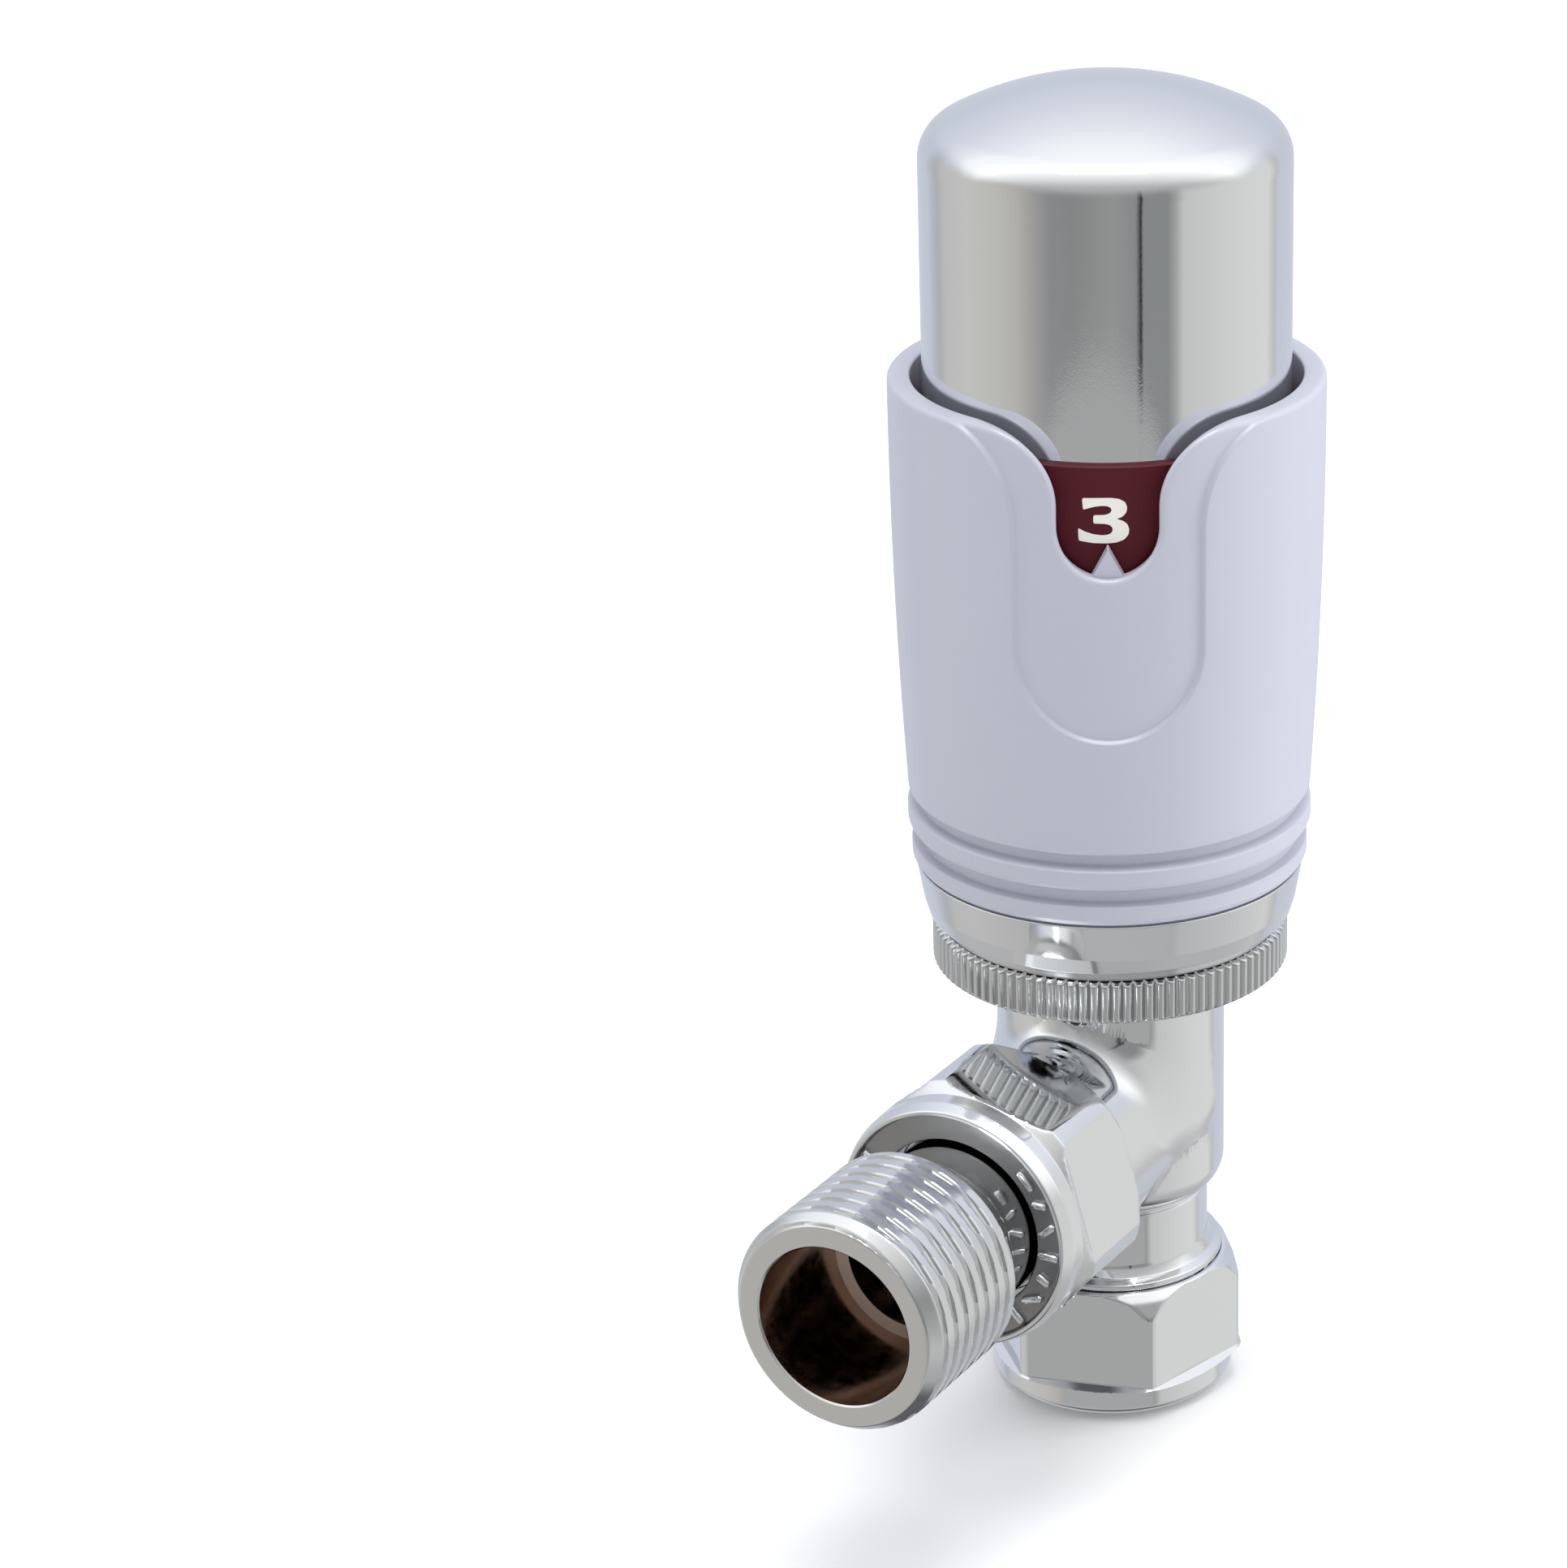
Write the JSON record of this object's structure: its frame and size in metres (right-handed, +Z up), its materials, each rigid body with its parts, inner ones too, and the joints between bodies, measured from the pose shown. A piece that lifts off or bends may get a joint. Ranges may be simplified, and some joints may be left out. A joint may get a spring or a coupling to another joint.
{
  "type": "thermostatic radiator valve",
  "caption": "Angle radiator valve with a thermostatic head: a domed cap turns a dial in a fixed sleeve, and a threaded side tail and a pipe nut join radiator and pipe.",
  "frame": {"origin": "centre of the pipe entry, on the bottom face of the compression nut", "axes": "+Z up the valve axis from the pipe entry to the domed cap; the dial window faces -Y; the threaded tail leaves level, turned 28 degrees from -Y towards -X"},
  "size_m": [0.0524, 0.07, 0.128],
  "materials": {
    "chrome_brass": "polished chrome plating over brass",
    "chrome_cap": "polished chrome plated shell",
    "brass": "machined brass",
    "steel": "turned stainless steel",
    "spring_steel": "drawn spring wire",
    "rubber": "moulded rubber",
    "fibre": "flat sealing washer",
    "white_plastic": "glossy white plastic",
    "inner_plastic": "moulded engineering plastic",
    "scale_plastic": "maroon dial ring with pale figures",
    "sensor_metal": "drawn metal sensor case"
  },
  "bodies": {
    "valve_and_sleeve": {"valve_body": "chrome_brass", "olive": "brass", "tailpiece": "chrome_brass", "tail_seal": "fibre", "valve_insert": "brass", "insert_seal": "rubber", "gland_nut": "brass", "gland_seal": "rubber", "return_spring": "spring_steel", "chrome_collar": "chrome_cap", "base_collar": "white_plastic", "sensor_frame": "inner_plastic", "retaining_ring": "spring_steel", "limit_pins": "steel", "outer_sleeve": "white_plastic"},
    "handwheel": {"chrome_cap": "chrome_cap", "scale_ring": "scale_plastic", "drive_sleeve": "inner_plastic"},
    "sensor_unit": {"sensor_carrier": "inner_plastic", "thermostat_sensor": "sensor_metal", "overtravel_spring": "spring_steel", "carrier_cap": "inner_plastic"},
    "valve_stem": {"sensor_plunger": "inner_plastic", "pressure_pin": "steel", "spindle": "steel", "spring_clip": "steel", "disc_holder": "brass", "seat_washer": "rubber", "washer_screw": "brass"},
    "head_fixing_nut": {"head_nut": "chrome_brass"},
    "tail_union_nut": {"union_nut": "chrome_brass"},
    "pipe_nut": {"compression_nut": "chrome_brass"}
  },
  "joints": [
    {"name": "handwheel_turn", "type": "hinge", "parent": "valve_and_sleeve", "child": "handwheel", "pos_m": [0, 0, 0.107], "axis": [0, 0, 1], "range_deg": [-150, 100]},
    {"name": "sensor_lift", "type": "slide", "parent": "valve_and_sleeve", "child": "sensor_unit", "axis": [0, 0, 1], "range_m": [-0.0015, 0.001]},
    {"name": "stem_stroke", "type": "slide", "parent": "sensor_unit", "child": "valve_stem", "axis": [0, 0, 1], "range_m": [-0.001, 0], "stiffness_N_per_m": 1000, "springref_m": 0.002, "deforming": ["return_spring"]},
    {"name": "head_nut_turn", "type": "hinge", "parent": "valve_and_sleeve", "child": "head_fixing_nut", "pos_m": [0, 0, 0.0459], "axis": [0, 0, 1], "continuous": true},
    {"name": "union_nut_turn", "type": "hinge", "parent": "valve_and_sleeve", "child": "tail_union_nut", "pos_m": [-0.01059, -0.01991, 0.0287], "axis": [-0.4695, -0.8829, 0], "continuous": true},
    {"name": "pipe_nut_turn", "type": "hinge", "parent": "valve_and_sleeve", "child": "pipe_nut", "pos_m": [0, 0, 0.0065], "axis": [0, 0, 1], "continuous": true}
  ],
  "couplings": [
    {"joint": "handwheel_turn", "follows": "sensor_lift", "rad_per_m": 1745}
  ]
}
